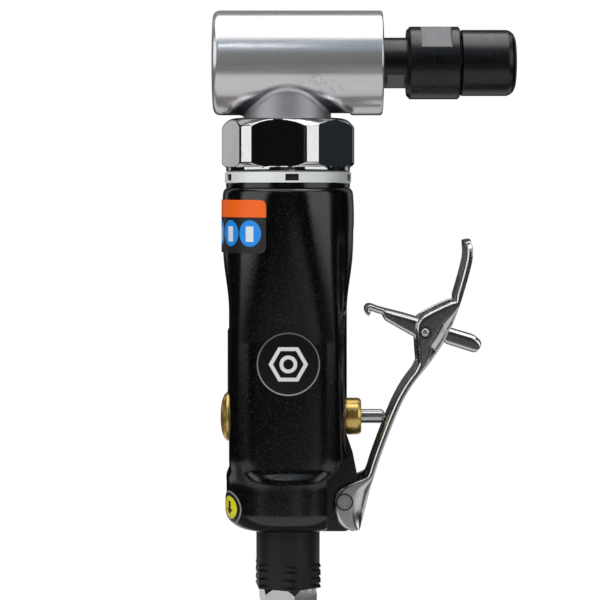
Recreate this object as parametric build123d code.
from build123d import *

import math
import os

# Air powered angle die grinder. Millimetres. The origin is the centre of the air inlet's mouth,
# +Z runs up the handle's axis and +X runs out along the spindle to the collet.

# Driving dimensions
RUN = 0.05  # radial running clearance between pieces that move on each other
HEAD_Z = 162.0  # height of the spindle axis
HEAD_R = 15.7
HEAD_X = (-22.4, 28.3)
NECK_R = 12.9
NECK_SEAT_Z = 136.1  # where the neck's flange sits on the housing's collar

HOUSING_TOP = 124.6
HOUSING_BOTTOM = 23.2
ROUND_R = 19.8  # round part of the handle
BLOCK_R = 18.6  # lower block of the handle
BLOCK_CORNER = 5.4
GRIP_HALF_WIDTH = 17.6
GRIP_HALF_DEPTH = 15.7
COLLAR_R = 15.0  # threaded collar that carries the lock ring and the nut
STEP_R = 18.6  # step between the handle's lip and the lock ring
STEP_TOP = 126.0
MOTOR_BORE_R = 13.6
MOTOR_FLOOR = 68.0
ROTOR_TOP = 112.8
ROTOR_BOTTOM = 73.2
ROTOR_R = 10.3
PLATE_THICKNESS = 5.0

NUT_FLATS = 36.4
NUT_R = 19.9
NUT_Z = (129.2, 145.5)
RING_R = 18.9
RING_Z = (126.1, 129.2)

GEAR_TEETH = 20
PINION_TEETH = 16
GEAR_MODULE = 1.0
FACE_SHARE = 0.32  # share of the cone distance that the teeth cover

SPINDLE_R = 7.6
SPINDLE_FLATS = 13.0
CHUCK_R = 10.9
CHUCK_FLATS = 19.0
CHUCK_X = (35.5, 51.3)
CAP_R = 9.9
CAP_X = (51.6, 67.9)
SHANK_R = 3.175  # quarter inch tool shank

VALVE_Z = 56.1
VALVE_BORE_R = 5.0
STEM_R = 2.1
STEM_TIP_X = 29.2
STEM_DOME_R = 2.5

LEVER_PIVOT = (16.8, 31.7)
LEVER_SHEET = 2.0
LEVER_HALF_WIDTH = 9.0
EAR_INNER_Y = 7.2
LUG_HALF = 6.9
PIN_R = 2.1
LOCK_PIVOT = (40.6, 81.8)
LOCK_PIN_R = 1.25
LOCK_SHEET = 1.6
LOCK_HALF_WIDTH = 6.6
TAB_HALF_WIDTH = 4.3

INLET_FLATS = 15.7
INLET_HEX_TOP = 5.5
INLET_SHANK_R = 7.0
INLET_THREAD_R = 5.55
SLEEVE_R = 9.5
SLEEVE_TOP = 26.0
MUFFLER_Z = (26.2, 28.8)
SLEEVE_FLATS = 18.5

SPINDLE_AXIS = Axis((0, 0, HEAD_Z), (1, 0, 0))


def ring(r_out, r_in, z0, z1):
    """Round ring about Z."""
    body = Pos(0, 0, (z0 + z1) / 2) * Cylinder(r_out, z1 - z0)
    return body - Pos(0, 0, (z0 + z1) / 2) * Cylinder(r_in, (z1 - z0) * 1.2)


def disc(r, z0, z1):
    """Round bar about Z."""
    return Pos(0, 0, (z0 + z1) / 2) * Cylinder(r, z1 - z0)


def lathe(points):
    """Solid of revolution about Z from an outline of radius and height."""
    outline = Polyline(*[(r, 0, z) for r, z in points], close=True)
    return revolve(make_face(outline), Axis.Z)


def along_spindle(shape):
    """Turns a piece made about Z, with Z as distance along the spindle, onto the spindle's axis."""
    return Location((0, 0, HEAD_Z), (0, 90, 0)) * shape


def along_valve(shape):
    """Turns a piece made about Z onto the valve's axis, which runs along X."""
    return Location((0, 0, VALVE_Z), (0, 90, 0)) * shape


def hex_bar(flats, z0, z1, turn):
    """Hexagonal bar about Z with one corner at the angle turn."""
    face = RegularPolygon(flats / 2, 6, major_radius=False)
    return Pos(0, 0, z0) * (Rot(0, 0, turn) * extrude(face, z1 - z0))


def flats_cut(half, reach, z0, z1, turn):
    """Two blocks that cut parallel flats at the distance half from Z."""
    block = Box(reach, 2 * reach, z1 - z0)
    pair = [Pos(side * (half + reach / 2), 0, (z0 + z1) / 2) * block for side in (-1, 1)]
    return Rot(0, 0, turn) * (pair[0] + pair[1])


def side_plate(outline, y0, y1):
    """Plate with an outline in X and Z that fills y0 to y1."""
    face = make_face(Polyline(*[(x, 0, z) for x, z in outline], close=True))
    return Pos(0, y0, 0) * extrude(face, y1 - y0, dir=(0, 1, 0))


def cross_pin(at, r, half_length):
    """Round bar along Y through the point at, given as X and Z."""
    return Location((at[0], 0, at[1]), (90, 0, 0)) * Cylinder(r, 2 * half_length)


def motor_housing():
    """Handle: round top, grip with four flats, lower block with the lever's lug, and its bores."""
    lip = 2.2
    corner = BLOCK_CORNER
    with BuildPart() as outer:
        with BuildSketch(Plane.XZ):
            with BuildLine():
                Line((0, HOUSING_BOTTOM), (BLOCK_R - corner, HOUSING_BOTTOM))
                RadiusArc((BLOCK_R - corner, HOUSING_BOTTOM), (BLOCK_R, HOUSING_BOTTOM + corner), -corner)
                Line((BLOCK_R, HOUSING_BOTTOM + corner), (BLOCK_R, 36))
                Line((BLOCK_R, 36), (ROUND_R, 46))
                Line((ROUND_R, 46), (ROUND_R, HOUSING_TOP - lip))
                RadiusArc((ROUND_R, HOUSING_TOP - lip), (ROUND_R - 1.3, HOUSING_TOP), -3.2)
                Line((ROUND_R - 1.3, HOUSING_TOP), (STEP_R, HOUSING_TOP))
                Line((STEP_R, HOUSING_TOP), (STEP_R, STEP_TOP))
                Line((STEP_R, STEP_TOP), (COLLAR_R, STEP_TOP))
                Line((COLLAR_R, STEP_TOP), (COLLAR_R, NECK_SEAT_Z))
                Line((COLLAR_R, NECK_SEAT_Z), (0, NECK_SEAT_Z))
                Line((0, NECK_SEAT_Z), (0, HOUSING_BOTTOM))
            make_face()
        revolve(axis=Axis.Z)
    body = outer.part
    body -= grip_cut(GRIP_HALF_DEPTH, 94, 109, 41.5, 37.8, 0)
    body -= grip_cut(GRIP_HALF_DEPTH, 94, 109, 41.5, 37.8, 180)
    body -= grip_cut(GRIP_HALF_WIDTH, 94, 106, 41.5, 38.5, -90)
    body -= grip_cut(GRIP_HALF_WIDTH, 94, 106, 48.0, 44.0, 90)
    body -= lever_clearance()
    body += lever_lug()
    body -= disc(MOTOR_BORE_R, MOTOR_FLOOR, NECK_SEAT_Z + 1)
    body -= along_valve(disc(VALVE_BORE_R, -30, 30))
    body -= disc(INLET_SHANK_R, HOUSING_BOTTOM - 1, 36)
    body -= disc(SLEEVE_R + 0.1, HOUSING_BOTTOM - 1, MUFFLER_Z[1] + 0.2)
    body -= Pos(-3.5, 0, 0) * disc(3.4, 35, VALVE_Z)
    body -= Pos(5.0, 0, 0) * disc(2.4, VALVE_Z, MOTOR_FLOOR + 1)
    for side in (-1, 1):
        body -= Pos(0, side * 8.6, 0) * disc(1.5, 26, MOTOR_FLOOR + 1)
    body -= cross_pin(LEVER_PIVOT, PIN_R, 12)
    return body


def grip_cut(half, flat_top, run_out, flat_bottom, ledge, turn):
    """Cutter for one flat of the grip: an arc runs out at the top, and below is a sloped ledge."""
    deep = ROUND_R + 6
    rise = run_out - flat_top
    depth = ROUND_R - half + 0.05
    radius = (rise**2 + depth**2) / (2 * depth)
    with BuildPart() as cutter:
        with BuildSketch(Plane.YZ):
            with BuildLine():
                Line((-half, flat_bottom), (-half, flat_top))
                RadiusArc((-half, flat_top), (-half - depth, run_out), radius)
                Line((-half - depth, run_out), (-deep, run_out))
                Line((-deep, run_out), (-deep, ledge))
                Line((-deep, ledge), (-BLOCK_R - 0.3, ledge))
                Line((-BLOCK_R - 0.3, ledge), (-half, flat_bottom))
            make_face()
        extrude(amount=25, both=True)
    return Rot(0, 0, turn) * cutter.part


def lever_clearance():
    """Room beside the lug for the lever's ears, on both sides, and past the lug's end."""
    outline = [(11.6, 10), (11.6, 38.9), (16.5, 43.5), (30, 43.5), (30, 10)]
    return side_plate(outline, LUG_HALF, 30) + side_plate(outline, -30, -LUG_HALF)


def lever_lug():
    """Lug between the lever's ears that holds the roll pin."""
    outline = [
        (8, 23.3),
        (17.6, 23.3),
        (18.8, 24.8),
        (19.9, 31.0),
        (19.9, 39.5),
        (18.8, 44.5),
        (17.6, 49.0),
        (8, 49.0),
    ]
    return side_plate(outline, -LUG_HALF, LUG_HALF)


def lock_ring():
    """Spanner ring with five square pockets in its rim."""
    body = ring(RING_R, COLLAR_R, *RING_Z)
    middle = (RING_Z[0] + RING_Z[1]) / 2
    pocket = Pos(RING_R, 0, middle) * Box(3.0, 3.9, 1.95)
    for k in range(5):
        body -= Rot(0, 0, -90 + 4 + 72 * k) * pocket
    return body


def coupling_nut():
    """Large chromed nut, turned round and then given six flats, that holds the head on the collar."""
    z0, z1 = NUT_Z
    shape = lathe(
        [
            (0, z0),
            (18.3, z0),
            (18.9, z0 + 0.9),
            (NUT_R, z0 + 1.7),
            (NUT_R, z1 - 2.2),
            (19.3, z1 - 1.5),
            (18.4, z1 - 0.8),
            (17.2, z1 - 0.4),
            (13.7, z1),
            (0, z1),
        ]
    )
    shape = shape & hex_bar(NUT_FLATS, z0 + 1.0, z1, -90 - 9 + 30) + disc(NUT_R - 1.0, z0, z0 + 1.0)
    shape -= disc(COLLAR_R, z0 - 1, NECK_SEAT_Z + 3)
    shape -= disc(NECK_R, NECK_SEAT_Z + 2, z1 + 1)
    shape -= lathe([(0, z1 - 1.4), (NECK_R, z1 - 1.4), (13.5, z1 + 0.1), (0, z1 + 0.1)])
    return shape


def head_housing():
    """Polished right angle head: a barrel along the spindle on a round neck with a flange and a spigot."""
    x0, x1 = HEAD_X
    barrel = along_spindle(disc(HEAD_R, x0, x1))
    rear = barrel.edges().filter_by(GeomType.CIRCLE).sort_by(Axis.X)[0]
    barrel = fillet(rear, 2.0)
    front = barrel.edges().filter_by(GeomType.CIRCLE).sort_by(Axis.X)[-1]
    barrel = fillet(front, 0.8)
    neck = disc(NECK_R, NECK_SEAT_Z, HEAD_Z)
    body = barrel + neck
    junction = [
        e
        for e in body.edges()
        if 146.0 < e.center().Z < 155 and e.geom_type not in (GeomType.LINE, GeomType.CIRCLE)
    ]
    body = fillet(junction, 1.6)
    relief = ring(19.2, NECK_R, 140, HEAD_Z - HEAD_R + 0.8)
    body -= relief & (Pos(30, 0, 150) * Box(60, 60, 60))
    body += disc(COLLAR_R - 0.1, NECK_SEAT_Z, NECK_SEAT_Z + 3)
    body += disc(MOTOR_BORE_R, MOTOR_FLOOR + 50, NECK_SEAT_Z)
    body -= disc(9.5, MOTOR_FLOOR + 49, HEAD_Z)
    body -= along_spindle(disc(12.3, -14.3, x1 + 1))
    body -= along_spindle(disc(9.5, -20.0, -14.2))
    return body


def ball_bearing(r_out, r_in, z0, z1, balls):
    """Outer race, balls and inner race of a ball bearing about Z."""
    middle = (r_out + r_in) / 2
    ball_r = (r_out - r_in) * 0.27
    gap = ball_r * 0.45
    height = (z0 + z1) / 2
    groove = Pos(0, 0, height) * Torus(middle, ball_r + 0.03)
    outer = ring(r_out, middle + gap, z0, z1) - groove
    inner = ring(middle - gap, r_in, z0, z1) - groove
    ball = Pos(middle, 0, height) * Sphere(ball_r)
    return outer, [Rot(0, 0, 360 * k / balls) * ball for k in range(balls)], inner


def bevel_teeth(teeth, mate_teeth, phase):
    """Bevel wheel with its pitch cone's apex at the origin and its back below, at -Z.

    Each tooth is a wedge that shrinks towards the apex, on a root cone of the same apex.
    """
    pitch_r = teeth * GEAR_MODULE / 2
    depth = mate_teeth * GEAR_MODULE / 2
    add = 0.8 * GEAR_MODULE
    ded = 1.05 * GEAR_MODULE
    cone = math.hypot(pitch_r, depth)
    out_r, out_z = depth / cone, pitch_r / cone
    toe = 1 - FACE_SHARE

    def at(height, along):
        """Radius and height of a point off the pitch cone, scaled towards the apex."""
        return (pitch_r + height * out_r) * along, (-depth + height * out_z) * along

    root_heel = at(-ded, 1)
    root_toe = at(-ded, toe)
    wheel = lathe([(0, root_heel[1]), root_heel, root_toe, (0, root_toe[1])])
    pitch = 360 / teeth
    root_half = 0.29 * pitch
    tip_half = 0.09 * pitch

    def section(along):
        corners = []
        for height, half in ((-ded - 0.15, root_half), (add, tip_half)):
            r, z = at(height, along)
            for sign in (-1, 1) if height < 0 else (1, -1):
                a = math.radians(sign * half)
                corners.append((r * math.cos(a), r * math.sin(a), z))
        return make_face(Polyline(*corners, close=True))

    tooth = loft([section(1), section(toe)], ruled=True)
    for k in range(teeth):
        wheel += Rot(0, 0, phase + k * pitch) * tooth
    return wheel


def bevel_gear():
    """Bevel gear on the spindle, on the collet side of the neck."""
    wheel = bevel_teeth(GEAR_TEETH, PINION_TEETH, 180 / GEAR_TEETH)
    wheel += disc(9.0, -13.2, -8.8)
    wheel -= disc(5.0, -20, 0)
    return Location((0, 0, HEAD_Z), (0, -90, 0)) * wheel


def bevel_pinion():
    """Bevel pinion in one piece with its shaft, below the spindle, socketed for the rotor's end."""
    wheel = bevel_teeth(PINION_TEETH, GEAR_TEETH, 0)
    wheel += disc(7.0, -12.5, -10.6)
    piece = Pos(0, 0, HEAD_Z) * wheel
    piece += disc(4.0, 118.3, 150)
    piece -= disc(3.0, 118, 124.2)
    return piece


def spindle():
    """Stepped spindle with wrench flats outside the head and a threaded nose inside the chuck."""
    shaft = lathe(
        [
            (0, -19.6),
            (4.0, -19.6),
            (4.0, -14.2),
            (5.0, -14.2),
            (5.0, 13.2),
            (6.0, 13.2),
            (6.0, 21.6),
            (SPINDLE_R, 21.6),
            (SPINDLE_R, 36.4),
            (5.0, 36.4),
            (5.0, 42.5),
            (0, 42.5),
        ]
    )
    shaft -= flats_cut(SPINDLE_FLATS / 2, 6, 29.6, 34.8, -28)
    return along_spindle(shaft)


def chuck_body():
    """Collet chuck screwed on the spindle: a barrel with two flats, a thread for the cap, and a cone."""
    x0, x1 = CHUCK_X
    body = lathe(
        [
            (0, x0),
            (9.9, x0),
            (CHUCK_R, x0 + 1.0),
            (CHUCK_R, x1 - 0.5),
            (CHUCK_R - 0.5, x1),
            (7.45, x1),
            (7.45, 60.0),
            (0, 60.0),
        ]
    )
    body -= flats_cut(CHUCK_FLATS / 2, 6, 39.6, 48.7, 38)
    body -= disc(5.0, x0 - 1, 42.5)
    body -= disc(SPINDLE_R, x0 - 1, 36.4)
    body -= lathe([(0, 42.4), (4.3, 42.4), (4.3, 52.0), (6.3, 60.5), (0, 60.5)])
    return along_spindle(body)


def collet():
    """Split collet for a quarter inch shank, tapered at both ends, with three slots."""
    body = lathe(
        [
            (SHANK_R, 43.0),
            (4.2, 43.0),
            (4.2, 52.0),
            (6.1, 60.2),
            (6.1, 62.0),
            (5.0, 67.6),
            (SHANK_R, 67.6),
        ]
    )
    for k in range(3):
        body -= Rot(0, 0, 120 * k + 60) * (Pos(6, 0, 60) * Box(12, 0.7, 20))
    return along_spindle(body)


def collet_cap():
    """Cap that screws over the chuck's nose and squeezes the collet."""
    x0, x1 = CAP_X
    body = lathe(
        [
            (7.45 + RUN, x0),
            (CAP_R - 0.4, x0),
            (CAP_R, x0 + 0.4),
            (CAP_R, x1 - 2.4),
            (CAP_R - 0.4, x1 - 1.4),
            (CAP_R - 1.2, x1 - 0.5),
            (CAP_R - 2.3, x1),
            (5.2, x1),
            (5.2, x1 - 0.8),
            (6.5, x1 - 6.4),
            (6.5, 60.6),
            (7.45 + RUN, 60.6),
        ]
    )
    return along_spindle(body)


def front_retainer():
    """Threaded ring that closes the head and holds the front bearing, with two pin holes."""
    body = ring(12.3, SPINDLE_R + 0.3, 21.8, HEAD_X[1] - 0.6)
    for side in (-1, 1):
        body -= Pos(0, side * 10.0, HEAD_X[1] - 1) * Cylinder(0.8, 4)
    return along_spindle(body)


def rotor():
    """Slotted rotor with its two journals."""
    body = disc(ROTOR_R, ROTOR_BOTTOM, ROTOR_TOP)
    height = ROTOR_TOP - ROTOR_BOTTOM
    slot = Pos(ROTOR_R - 2.8, 0, (ROTOR_TOP + ROTOR_BOTTOM) / 2) * Box(5.8, 1.5, height + 2)
    for k in range(4):
        body -= Rot(0, 0, 90 * k) * slot
    body += disc(3.0, MOTOR_FLOOR + 0.3, ROTOR_BOTTOM + 1)
    body += disc(3.0, ROTOR_TOP - 1, 124.0)
    return body


def vanes():
    """Four flat vanes in the rotor's slots."""
    height = ROTOR_TOP - ROTOR_BOTTOM - 0.4
    vane = Pos(ROTOR_R - 2.9, 0, (ROTOR_TOP + ROTOR_BOTTOM) / 2) * Box(5.4, 1.4, height)
    return [Rot(0, 0, 90 * k) * vane for k in range(4)]


def motor_cylinder():
    """Liner that the rotor turns in, bored off centre, with exhaust slots on one side."""
    low = MOTOR_FLOOR + PLATE_THICKNESS
    body = disc(MOTOR_BORE_R, low, low + 40)
    body -= Pos(0, 1.1, 0) * disc(11.5, low - 1, low + 41)
    for k in range(5):
        body -= Pos(0, -13, low + 8 + 6 * k) * Box(6, 6, 2)
    return body


def end_plate(low, pocket_up):
    """Motor end plate with a bearing pocket and a shaft hole."""
    body = disc(MOTOR_BORE_R, low, low + PLATE_THICKNESS)
    if pocket_up:
        body -= disc(7.0, low + 0.6, low + PLATE_THICKNESS + 1)
    else:
        body -= disc(7.0, low - 1, low + PLATE_THICKNESS - 0.6)
    body -= disc(3.4, low - 1, low + PLATE_THICKNESS + 1)
    for side in (-1, 1):
        body -= Pos(0, side * 8.6, 0) * disc(1.2, low - 1, low + PLATE_THICKNESS + 1)
    return body


def valve_plug():
    """Domed brass plug that closes the valve bore and carries the spring."""
    cap = lathe([(0, 17.6), (7.4, 17.6), (7.3, 18.2), (6.4, 19.1), (4.6, 19.8), (2.4, 20.1), (0, 20.1)])
    cap += disc(VALVE_BORE_R, 13.0, 17.6)
    return Location((0, 0, VALVE_Z), (0, -90, 0)) * cap


def valve_bushing():
    """Brass bushing that guides the throttle stem, with a groove for its O-ring."""
    body = lathe(
        [
            (STEM_R + RUN, 8.0),
            (VALVE_BORE_R, 8.0),
            (VALVE_BORE_R, 17.7),
            (5.5, 17.7),
            (5.5, 20.9),
            (5.2, 21.6),
            (4.6, 21.9),
            (STEM_R + RUN, 21.9),
        ]
    )
    body -= ring(VALVE_BORE_R + 1, 3.6, 11.3, 12.7)
    return along_valve(body)


def throttle_stem():
    """Steel stem with the valve's head inside and a domed tip under the lever."""
    body = disc(STEM_R, -1.5, STEM_TIP_X - STEM_DOME_R + 1.2)
    dome = Pos(0, 0, STEM_TIP_X - STEM_DOME_R) * Sphere(STEM_DOME_R)
    body += dome & disc(STEM_R, STEM_TIP_X - STEM_DOME_R, STEM_TIP_X + 1)
    body += disc(3.8, -4.6, -1.1)
    body += disc(1.6, -6.0, -4.6)
    return along_valve(body)


def valve_spring():
    """Coil spring between the plug and the valve's head."""
    pitch = 1.9
    start = 5.05
    path = Pos(0, 0, start) * Helix(pitch, 7.4, 2.6)
    profile = Plane(origin=path @ 0, z_dir=path % 0) * Circle(0.35)
    coil = sweep(profile, path=path, is_frenet=True)
    return Location((0, 0, VALVE_Z), (0, -90, 0)) * coil


def lever_outline():
    """Outer face of the throttle lever, from its foot to its tip, as a smooth line in X and Z."""
    points = [
        (21.3, 23.5),
        (22.7, 28.0),
        (24.9, 37.0),
        (29.8, 51.5),
        (36.5, 65.7),
        (45.9, 77.9),
        (50.3, 88.0),
        (54.0, 100.0),
        (54.6, 106.0),
        (53.4, 109.4),
    ]
    return Spline(*[(x, 0, z) for x, z in points])


def sheet_along(line, thickness, half_width, samples):
    """Bent sheet: the line is its outer face, and its thickness goes to the left of the line's direction."""
    inner = []
    for k in range(samples + 1):
        t = k / samples
        tangent = line % t
        point = line @ t
        inner.append(Vector(point.X - tangent.Z * thickness, 0, point.Z + tangent.X * thickness))
    back = Spline(*inner)
    start = Line(line @ 0, back @ 0)
    end = Line(line @ 1, back @ 1)
    face = make_face([line, start, back, end])
    return Pos(0, -half_width, 0) * extrude(face, 2 * half_width, dir=(0, 1, 0))


def throttle_lever():
    """Stamped throttle lever: a bent strip with two pairs of ears and a slot for the lock tab."""
    strip = sheet_along(lever_outline(), LEVER_SHEET, LEVER_HALF_WIDTH, 24)
    foot = [
        (20.8, 24.3),
        (19.2, 23.1),
        (15.6, 24.2),
        (13.3, 29.0),
        (14.5, 35.3),
        (18.5, 37.2),
        (23.2, 38.8),
        (23.9, 37.0),
        (21.9, 28.5),
    ]
    middle = [
        (39.6, 71.9),
        (38.5, 72.2),
        (37.8, 83.7),
        (38.8, 86.1),
        (49.6, 91.3),
        (50.2, 90.2),
        (48.4, 85.8),
        (45.0, 78.6),
    ]
    for outline in (foot, middle):
        strip += side_plate(outline, EAR_INNER_Y, LEVER_HALF_WIDTH)
        strip += side_plate(outline, -LEVER_HALF_WIDTH, -EAR_INNER_Y)
    slot = side_plate([(40, 75.5), (50, 75.5), (60, 97.5), (46, 97.5)], -4.8, 4.8)
    strip -= slot
    strip -= cross_pin(LEVER_PIVOT, PIN_R + RUN, 12)
    strip -= cross_pin(LOCK_PIVOT, LOCK_PIN_R, 12)
    return strip


def lock_lever():
    """Stamped lock-off lever: a channel with a hooked stop arm one way and a thumb tab the other."""
    arm = [(23.3, 89.9), (23.7, 88.2), (40.6, 83.9), (41.2, 85.3)]
    hook = [(23.3, 89.9), (23.3, 86.0), (25.0, 86.0), (25.0, 89.4)]
    flange = [
        (28.4, 87.2),
        (28.4, 85.2),
        (37.5, 80.2),
        (39.0, 78.3),
        (42.6, 78.1),
        (44.2, 80.2),
        (43.6, 84.2),
        (40.0, 85.4),
    ]
    tab = [
        (39.5, 85.2),
        (43.6, 84.2),
        (54.3, 80.9),
        (56.4, 79.9),
        (57.6, 78.3),
        (56.0, 78.0),
        (53.6, 79.2),
        (42.5, 82.6),
    ]
    rim = [(46.4, 82.6), (54.3, 80.9), (57.6, 78.3), (55.8, 75.4), (46.6, 78.2)]
    body = side_plate(arm, -LOCK_HALF_WIDTH, LOCK_HALF_WIDTH)
    body += side_plate(hook, -LOCK_HALF_WIDTH, LOCK_HALF_WIDTH)
    body += side_plate(tab, -TAB_HALF_WIDTH, TAB_HALF_WIDTH)
    for outline, half in ((flange, LOCK_HALF_WIDTH), (rim, TAB_HALF_WIDTH)):
        body += side_plate(outline, half - LOCK_SHEET, half)
        body += side_plate(outline, -half, LOCK_SHEET - half)
    body -= cross_pin(LOCK_PIVOT, LOCK_PIN_R + RUN, 12)
    return body


def roll_pin(at, r, half_length):
    """Rolled spring pin: a tube along Y with a slit."""
    body = cross_pin(at, r, half_length) - cross_pin(at, r - 0.7, half_length + 1)
    return body - Pos(at[0], 0, at[1] - r) * Box(0.5, 3 * half_length, 2 * r)


def lock_spring():
    """Torsion spring round the lock pin, between the lock lever's flanges."""
    path = Helix(0.6, 3.6, LOCK_PIN_R + 0.35)
    profile = Plane(origin=path @ 0, z_dir=path % 0) * Circle(0.24)
    coil = sweep(profile, path=path, is_frenet=True)
    return Location((LOCK_PIVOT[0], 1.8, LOCK_PIVOT[1]), (90, 0, 0)) * coil


def exhaust_sleeve():
    """Black exhaust sleeve: a tube with a hexagonal collar whose corners are grooved."""
    collar_top = 12.3
    body = disc(SLEEVE_R, collar_top - 0.5, SLEEVE_TOP)
    body += hex_bar(SLEEVE_FLATS, INLET_HEX_TOP, collar_top, -90 + 6)
    for z in (11.2, 8.8, 6.6):
        body -= ring(14, SLEEVE_FLATS / 2 + 0.15, z - 0.5, z + 0.4)
    body -= disc(7.7, INLET_HEX_TOP + 1.2, SLEEVE_TOP + 1)
    body -= disc(INLET_SHANK_R, 0, SLEEVE_TOP + 1)
    return body


def inlet_bushing():
    """Hexagonal inlet bushing with a pipe thread mouth and a threaded shank up into the housing."""
    limit = lathe([(0, 0), (8.1, 0), (9.06, 1.7), (9.06, 3.6), (8.0, INLET_HEX_TOP), (0, INLET_HEX_TOP)])
    body = hex_bar(INLET_FLATS, 0, INLET_HEX_TOP, -90 + 13) & limit
    body += disc(INLET_SHANK_R, INLET_HEX_TOP - 0.1, 34.0)
    body -= disc(INLET_THREAD_R, -1, 12.0)
    body -= disc(4.0, 0, 35)
    return body


def curved_label(azimuth_0, azimuth_1, z0, z1, r, thickness):
    """Thin label on a cylinder about Z; azimuths are turns from -Y towards +X, in degrees."""
    span = azimuth_1 - azimuth_0
    r_out = r + thickness
    strip = make_face(Polyline((r, 0, z0), (r_out, 0, z0), (r_out, 0, z1), (r, 0, z1), close=True))
    return Rot(0, 0, -90 + azimuth_0) * revolve(strip, Axis.Z, span)


def rounded_post(r, bottom, corner):
    """Round post with a rounded foot, like the handle's lower block."""
    top = 40
    with BuildPart() as post:
        with BuildSketch(Plane.XZ):
            with BuildLine():
                Line((0, bottom), (r - corner, bottom))
                RadiusArc((r - corner, bottom), (r, bottom + corner), -corner)
                Line((r, bottom + corner), (r, top))
                Line((r, top), (0, top))
                Line((0, top), (0, bottom))
            make_face()
        revolve(axis=Axis.Z)
    return post.part


def arrow_label():
    """Round label on the lower block, left of the front, that follows the block's rounded foot."""
    thickness = 0.15
    shell = rounded_post(BLOCK_R + thickness, HOUSING_BOTTOM - thickness, BLOCK_CORNER + thickness)
    shell -= rounded_post(BLOCK_R, HOUSING_BOTTOM, BLOCK_CORNER)
    punch = Location((0, 0, 29.9), (90, 0, 0)) * (Pos(0, 0, 20) * Cylinder(4.8, 20))
    return shell & (Rot(0, 0, -59.5) * punch)


def save(name, shape):
    """Writes one node; a list becomes a group of separate solids."""
    if isinstance(shape, list):
        shape = Compound(children=[s.solids()[0] for s in shape])
    export_step(shape, f"parts/{name}.step")


def main():
    os.makedirs("parts", exist_ok=True)
    save("motor_housing", motor_housing())
    save("head_housing", head_housing())
    save("coupling_nut", coupling_nut())
    save("lock_ring", lock_ring())
    save("front_retainer", front_retainer())
    save("spindle", spindle())
    save("bevel_gear", bevel_gear())
    save("bevel_pinion", bevel_pinion())
    save("chuck_body", chuck_body())
    save("collet", collet())
    save("collet_cap", collet_cap())

    outer, balls, inner = ball_bearing(12.3, 6.0, 13.4, 21.4, 9)
    save("front_bearing_outer_race", along_spindle(outer))
    save("front_bearing_balls", [along_spindle(b) for b in balls])
    save("front_bearing_inner_race", along_spindle(inner))
    outer, balls, inner = ball_bearing(9.5, 4.0, -19.4, -14.4, 8)
    save("rear_bearing_outer_race", along_spindle(outer))
    save("rear_bearing_balls", [along_spindle(b) for b in balls])
    save("rear_bearing_inner_race", along_spindle(inner))

    outers, inners, all_balls = [], [], []
    for z0, z1 in ((119.0, 124.0), (140.5, 145.5)):
        outer, balls, inner = ball_bearing(9.5, 4.0, z0, z1, 8)
        outers.append(outer)
        inners.append(inner)
        all_balls += balls
    save("pinion_bearing_outer_races", outers)
    save("pinion_bearing_balls", all_balls)
    save("pinion_bearing_inner_races", inners)
    save("pinion_spacer", ring(9.5, 7.6, 124.0, 140.5))

    outers, inners, all_balls = [], [], []
    for z0, z1 in ((68.6, 73.0), (113.0, 117.4)):
        outer, balls, inner = ball_bearing(7.0, 3.0, z0, z1, 7)
        outers.append(outer)
        inners.append(inner)
        all_balls += balls
    save("rotor_bearing_outer_races", outers)
    save("rotor_bearing_balls", all_balls)
    save("rotor_bearing_inner_races", inners)
    save("rotor", rotor())
    save("rotor_vanes", vanes())
    save("motor_cylinder", motor_cylinder())
    save("rear_end_plate", end_plate(MOTOR_FLOOR, True))
    save("front_end_plate", end_plate(113.0, False))

    save("valve_plug", valve_plug())
    save("valve_bushing", valve_bushing())
    save("valve_bushing_o_ring", along_valve(Pos(0, 0, 12.0) * Torus(4.3, 0.68)))
    save("valve_seat", along_valve(ring(VALVE_BORE_R, 2.8, -0.9, 1.2)))
    save("throttle_stem", throttle_stem())
    save("valve_spring", valve_spring())
    save("throttle_lever", throttle_lever())
    save("lever_pin", roll_pin(LEVER_PIVOT, PIN_R, 9.3))
    save("lock_lever", lock_lever())
    save("lock_pin", cross_pin(LOCK_PIVOT, LOCK_PIN_R, 9.4))
    save("lock_spring", lock_spring())

    save("exhaust_sleeve", exhaust_sleeve())
    save("exhaust_muffler", ring(SLEEVE_R, INLET_SHANK_R + 0.1, *MUFFLER_Z))
    save("inlet_bushing", inlet_bushing())
    save("inlet_screen", disc(4.0, 12.2, 12.8))

    save("emblem_disc", Location((0.2, -GRIP_HALF_DEPTH - 0.3, 73.0), (90, 0, 0)) * Cylinder(9.3, 0.6))
    save("warning_label", curved_label(-125, -18.6, 105.3, 121.0, ROUND_R, 0.15))
    save("arrow_label", arrow_label())
    save("side_label", Pos(-GRIP_HALF_WIDTH - 0.15, 0, 73.0) * Box(0.3, 15.0, 19.0))


main()
